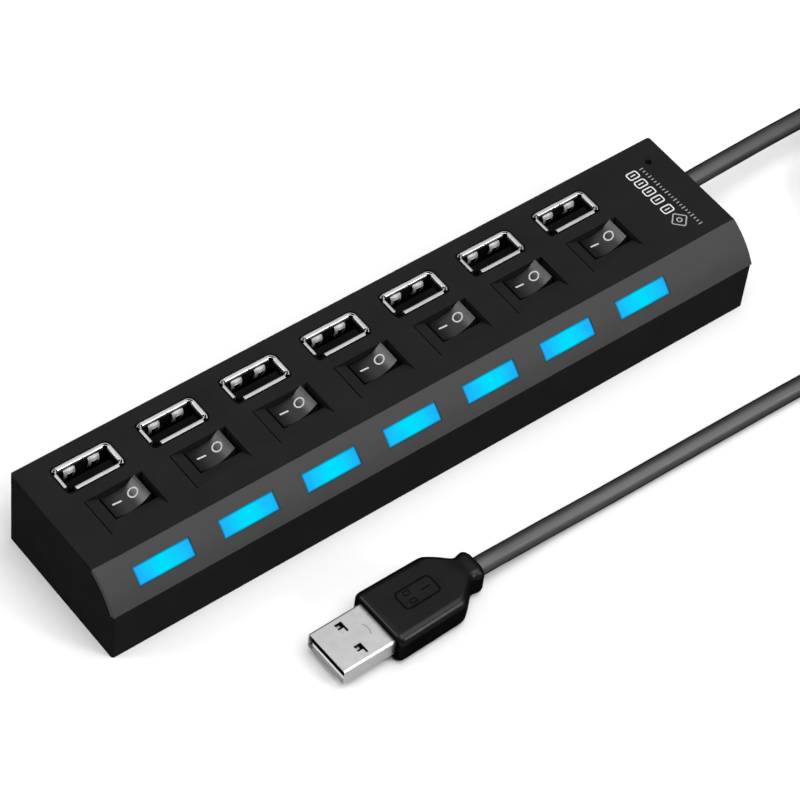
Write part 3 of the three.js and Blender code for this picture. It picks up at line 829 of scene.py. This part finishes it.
def socket(number):
    """One upright socket: its folded shell, leaves, the black sheets of painted shade in its bore and round
    its lips, tongue and contacts.
    """
    low, high = box_of(f"socket_shell_{number}")
    middle_y = centre_of(f"rocker_{number}").y + SOCKET_BEHIND_ROCKER
    middle = Vector(((low.x + high.x) / 2, middle_y, 0))
    socket_sheet(number, middle, low.z)
    socket_leaves(number, middle)
    socket_painted_shade(number, middle, low.z)
    skin(f"socket_insulator_{number}", f"socket_block_{number}", "inner_black", INNER_BLACK, 0.12, 2)
    socket_contacts(number, middle)


for number in PORTS:
    socket(number)


# ---------------------------------------------------------------- rockers
ROCKER_HALF, ROCKER_WIDTH = 4.3, 5.8   # half its length, and its width along the hinge
ROCKER_RISE, ROCKER_DISH = 3.68, 1.5   # its ends' height over the pivot, and how far its top dips
ROCKER_AXLE, ROCKER_PIN = 0.8, 8.3     # its pin's radius and length
ROCKER_TILT = 12                       # degrees: the pressed end is the left one
# Its underside in side view, from left to right, about the pivot.
ROCKER_UNDER = [
    (-ROCKER_HALF, 1), (-3.4, -1.1), (-1, -1.4), (0, -2.6), (1, -1.4), (3.4, -1.1), (ROCKER_HALF, 1),
]
MARK_LINE = 0.35                       # how far behind the rocker's middle its two marks lie


def dish_height(x):
    return ROCKER_RISE - ROCKER_DISH * (1 - (x / ROCKER_HALF) ** 2)


def rocker_cap(number, matrix):
    """The rocker with its dished top, about its pivot."""
    steps = 24
    profile = []
    for step in range(steps + 1):
        x = ROCKER_HALF * (1 - 2 * step / steps)
        profile.append((x, dish_height(x)))
    profile += ROCKER_UNDER
    bm = bmesh.new()
    prism(bm, profile, lambda u, v, w: Vector((u, w - ROCKER_WIDTH / 2, v)), ROCKER_WIDTH)
    soften(bm, 0.16, 3, 40)
    bmesh.ops.create_cone(
        bm, cap_ends=True, segments=24, radius1=ROCKER_AXLE, radius2=ROCKER_AXLE, depth=ROCKER_PIN,
        matrix=Matrix.Rotation(math.radians(90), 4, "X"))
    bmesh.ops.transform(bm, matrix=matrix, verts=bm.verts)
    made = mesh_piece(f"rocker_cap_{number}", bm, "rocker_black", ROCKER_BLACK, f"rocker_body_{number}")
    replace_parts(made, f"rocker_{number}")


def on_dish(x, y, sink):
    proud = 0.03
    return Vector((x, y, dish_height(x) + proud - sink))


def rocker(number):
    """A rocker and the two marks on its dish: a bar at the pressed end and a ring at the raised one."""
    joint = next(j for j in frame["joints"] if j["child"] == f"rocker_body_{number}")
    pivot = Vector(joint["pos_m"]) / MM
    matrix = Matrix.Translation(pivot) @ Matrix.Rotation(math.radians(-ROCKER_TILT), 4, "Y")
    ring_x, ring_inner, ring_outer = 1.9, 0.86, 1.17
    bar_x, bar_length, bar_width = -2.0, 2.2, 0.38
    rocker_cap(number, matrix)
    marks = bmesh.new()
    ring_mark(marks, ring_x, MARK_LINE, ring_inner, ring_outer, on_dish)
    bar_mark(marks, bar_x, MARK_LINE, bar_length, bar_width, on_dish)
    bmesh.ops.transform(marks, matrix=matrix, verts=marks.verts)
    mesh_piece(f"rocker_marks_{number}", marks, "pale_plastic", ROCKER_INK, f"rocker_body_{number}")


for number in PORTS:
    skin(f"switch_case_{number}", f"switch_body_{number}", "inner_black", INNER_BLACK, 0.15, 2)
    rocker(number)


# ---------------------------------------------------------------- printed marks
def end_marks():
    """Plain port outlines in a column across the right end."""
    column, width, depth, corner_radius, stroke = END - 10.5, 3.0, 2.2, 0.6, 0.3
    tongue_length, tongue_width = 1.4, 0.28
    bm = bmesh.new()
    for y in (-0.4, 2.9, 5.8, 8.6, 11.4):
        frame_mark(bm, column, y, width, depth, corner_radius, stroke, on_top)
        bar_mark(bm, column, y, tongue_length, tongue_width, on_top)
    mesh_piece("end_marks", bm, "pale_plastic", PRINT_WHITE)


def end_badge():
    """A fine graduated rule beside the column, and a plain ring in a turned square before it."""
    rule, rule_front, pitch, slant = END - 7, -7.6, 0.93, 0.03
    short, long, thick = 0.75, 1.1, 0.24
    badge_x, badge_y, side = END - 10.3, -4.3, 3.3
    bm = bmesh.new()
    for step in range(22):
        length = short if step % 3 else long
        bar_mark(bm, rule - step * slant, rule_front + step * pitch, length, thick, on_top)
    frame_mark(bm, badge_x, badge_y, side, side, 0.5, 0.3, on_top, 45)
    ring_mark(bm, badge_x, badge_y, 0.42, 0.72, on_top)
    mesh_piece("end_badge", bm, "pale_plastic", PRINT_GREY)


end_marks()
end_badge()


# ---------------------------------------------------------------- inside
for node, slot, material in (
    ("main_board", "board_green", BOARD_GREEN),
    ("hub_controller", "chip_black", INNER_BLACK),
    ("crystal", "steel", STEEL),
):
    skin(node, f"{node}_finish", slot, material, 0.1, 2)
skin("power_light_pipe", "power_light", "inner_black", INNER_BLACK, 0.1, 2)
skin("cord_grommet", "cord_collar", "inner_black", INNER_BLACK, 0.12, 2)
for number in range(1, 5):
    skin(f"screw_{number}", f"screw_head_{number}", "screw_steel", SCREW_STEEL, 0.08, 2)


# ---------------------------------------------------------------- plug
PLUG = Vector((-51.2, -45.2, 4.1))     # the middle of the plug's mouth
PLUG_TURN = 1.2                        # degrees
PLUG_PLACE = Matrix.Translation(PLUG) @ Matrix.Rotation(math.radians(PLUG_TURN), 4, "Z")
PLUG_WINDOW_X = (5.3, 7.1)             # where the shell's two windows start and end, back from its mouth
PLUG_WINDOW_Y, PLUG_WINDOW_HALF = 3.2, 1.35    # how far to each side they lie, and half their width
GRIP_TOP = 4.1
GRIP_MOUTH = (12.5, 5.0, 0.8)          # the opening that takes the shell: width, height and corner radius
CORD_CLEAR = 0.1
# The grip's sections: how far back, half width, half height and corner radius.
GRIP = [
    (13.0, 6.8, 2.95, 1.3), (13.05, 7.25, 3.45, 1.6), (13.3, 7.65, 3.8, 1.9), (13.75, 7.9, 4.02, 2.1),
    (14.4, 8.0, 4.1, 2.2), (29.4, 7.75, 4.1, 2.2), (30.3, 7.55, 4.1, 2.2), (31.1, 7.1, 4.1, 2.2),
    (32.1, 6.35, 4.08, 2.2), (33.1, 5.5, 4.04, 2.1), (34.0, 4.65, 3.98, 2.0), (34.8, 3.95, 3.9, 1.9),
    (35.5, 3.55, 3.8, 1.8), (36.1, 3.5, 3.76, 1.8), (36.7, 3.65, 3.8, 1.8), (37.3, 3.8, 3.84, 1.9),
    (37.9, 3.8, 3.82, 1.9), (38.4, 3.6, 3.65, 1.9), (38.8, 3.2, 3.3, 1.8), (38.9, 2.8, 2.9, 1.7),
]


def grip_piece():
    """The moulded grip: flat with round edges, drawn in to a collar about the lead."""
    mouth_floor, bore_floor = 17.0, 35.0    # how far back its two openings reach, from either end
    edge = 0.02
    bore = 2 * (CORD_RADIUS + CORD_CLEAR)
    sections = [(mouth_floor, *GRIP_MOUTH), (GRIP[0][0] + edge, *GRIP_MOUTH)]
    for back, half_width, half_height, radius in GRIP:
        sections.append((back, 2 * half_width, 2 * half_height, radius))
    for back in (GRIP[-1][0] - edge, bore_floor):
        sections.append((back, bore, bore, bore / 2 - 0.01))
    rings = []
    for back, width, height, radius in sections:
        rings.append([Vector((back, u, v)) for u, v in rounded_ring(width, height, radius, 8)])
    bm = bmesh.new()
    loft(bm, rings)
    bmesh.ops.transform(bm, matrix=PLUG_PLACE, verts=bm.verts)
    made = mesh_piece("plug_grip", bm, "grip_black", GRIP_BLACK, angle=60)
    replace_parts(made, "plug_overmould")
    return made


def on_grip(x, y, sink):
    proud = 0.012
    return PLUG_PLACE @ Vector((x, y, GRIP_TOP + proud - sink))


def grip_mark():
    """A plain connector outline on the grip's flat top, darker than the grip: painted shade standing in for
    a debossed outline.
    """
    x, y = 23.5, 0.2
    bm = bmesh.new()
    frame_mark(bm, x, y, 9.5, 5.2, 1.3, 0.5, on_grip)
    for side in (-1.15, 1.15):
        frame_mark(bm, x - 2, y + side, 1.7, 1.3, 0.25, 0.3, on_grip)
    bar_mark(bm, x + 2.1, y, 2.6, 0.45, on_grip)
    return mesh_piece("grip_mark", bm, "inner_black", DEBOSS_SHADE_BLACK)


def plug_blocks(name, slot, material, blocks, radius):
    """Rounded boxes in the plug's own frame, back from its mouth, across and up, as one piece."""
    bm = bmesh.new()
    for low, high in blocks:
        rounded_block(bm, low, high, radius)
    bmesh.ops.transform(bm, matrix=PLUG_PLACE, verts=bm.verts)
    return mesh_piece(name, bm, slot, material)


def plug_stamp(top):
    """A small arc stamped on the shell's upper face, behind its windows."""
    centre, inner, outer, half_turn, steps = 8.1, 2.4, 2.64, 37, 14
    low, high = top - 0.05, top + 0.012
    section = ((inner, low), (inner, high), (outer, high), (outer, low))
    rings = []
    for step in range(steps + 1):
        turn = math.radians(half_turn * (2 * step / steps - 1))
        rings.append([
            PLUG_PLACE @ Vector((centre + radius * math.cos(turn), radius * math.sin(turn), z))
            for radius, z in section])
    bm = bmesh.new()
    loft(bm, rings)
    return mesh_piece("plug_stamp", bm, "steel", STAMP_STEEL)


def plug_sheet():
    """The plug's folded shell, what shows through its two windows, and its stamp."""
    sheet = skin("plug_shell", "plug_sheet", "steel", PLUG_STEEL, 0.07, 3)
    _, face = box_of("plug_shell")
    top = face.z - PLUG.z
    near, far = PLUG_WINDOW_X
    flaps, catches, painted_shade_plates = [], [], []
    # Under each window: a flap in its front corner, a catch beside it, and beneath both a dark plate of
    # painted shade.
    for y in (-PLUG_WINDOW_Y, PLUG_WINDOW_Y):
        side = y - PLUG_WINDOW_HALF
        flaps.append(((near - 0.2, side - 0.3, top - 0.4), (far - 0.42, y - 0.15, top - 0.16)))
        catches.append(((near + 0.2, y + 0.45, top - 0.6), (far - 0.75, y + 1.0, top - 0.45)))
        painted_shade_plates.append(((near - 0.4, side - 0.3, top - 1.5), (far + 0.4, y + 1.7, top - 1.3)))
    return [
        sheet,
        plug_blocks("plug_flaps", "steel", FLAP_STEEL, flaps, 0.02),
        plug_blocks("plug_catches", "steel", STAMP_STEEL, catches, 0.03),
        plug_blocks("plug_shades", "inner_black", INNER_BLACK, painted_shade_plates, 0.05),
        plug_stamp(top),
    ]


def plug_tongue():
    """The plug's pale block and foot, a black plate of painted shade over the block's tip, and four gilt
    contacts.
    """
    # Black plate over the tongue's tip: painted shade for the gap under the shell's top sheet.
    tongue_shade_plate = [((0.62, -5.5, -0.8), (9.6, 5.5, 0.08))]
    foot = [((0.75, -5.4, -1.93), (9.6, 5.4, -1.5))]
    contacts = [((1.4, y - 0.55, 0.0), (9.5, y + 0.55, 0.12)) for y in CONTACTS]
    return [
        skin("plug_insulator", "plug_tongue", "pale_plastic", PALE_PLASTIC, 0.15, 2),
        plug_blocks("plug_carrier", "inner_black", INNER_BLACK, tongue_shade_plate, 0.06),
        plug_blocks("plug_foot", "pale_plastic", PALE_PLASTIC, foot, 0.05),
        plug_blocks("plug_contacts", "steel", GOLD, contacts, 0.04),
    ]


plug_pieces = [grip_piece(), grip_mark(), *plug_sheet(), *plug_tongue()]
tie = skin("coil_tie", "coil_strap", "tie_black", TIE_BLACK, 0.2)
